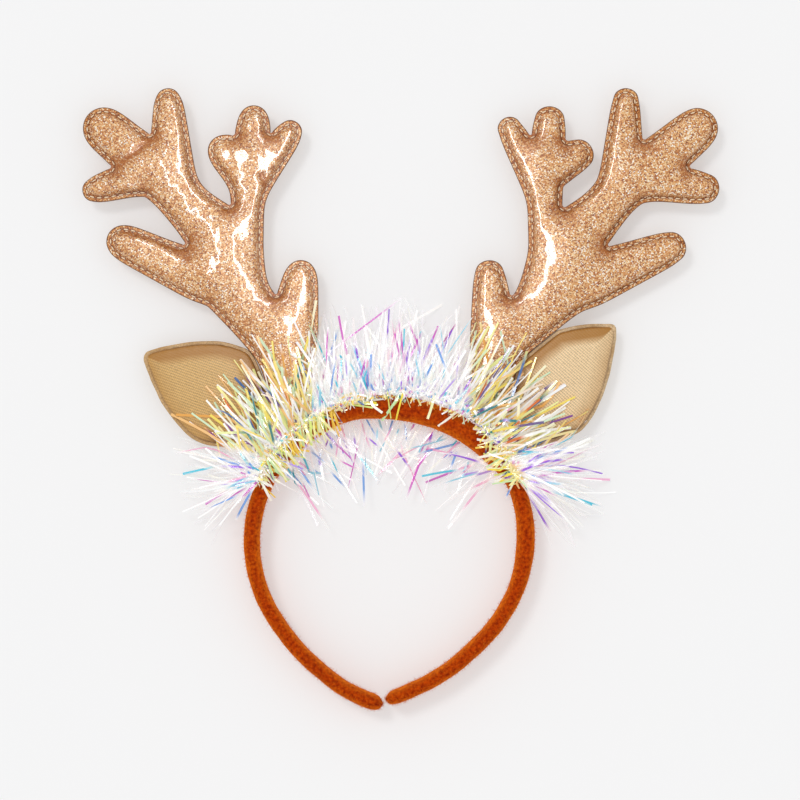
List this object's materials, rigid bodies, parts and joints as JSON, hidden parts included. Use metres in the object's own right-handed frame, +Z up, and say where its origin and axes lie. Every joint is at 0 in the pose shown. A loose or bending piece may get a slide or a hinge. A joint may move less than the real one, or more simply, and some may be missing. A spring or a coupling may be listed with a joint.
{
  "type": "reindeer antler headband",
  "caption": "Costume headband: a felt covered ring with padded glitter antlers, padded satin ears and a garland of clear film tinsel along its top.",
  "frame": {"origin": "centre of the bounding box, on the surface that the headband lies on", "axes": "+Z up from the surface, +Y from the ring towards the antlers, +X to the wearer's left as the face of the headband is seen"},
  "size_m": [0.2804, 0.272, 0.043],
  "materials": {
    "felt": "fuzzy rust brown felt over padding",
    "glitter_vinyl": "copper glitter sheet under clear glossy vinyl, topstitched edge",
    "satin_twill": "tan gold satin twill with a soft gloss",
    "tinsel_film": "clear iridescent film cut in narrow strips"
  },
  "bodies": {
    "root": {"headband": "felt", "antler_left": "glitter_vinyl", "antler_right": "glitter_vinyl", "ear_left": "satin_twill", "ear_right": "satin_twill", "tinsel_garland": "tinsel_film"}
  },
  "joints": []
}
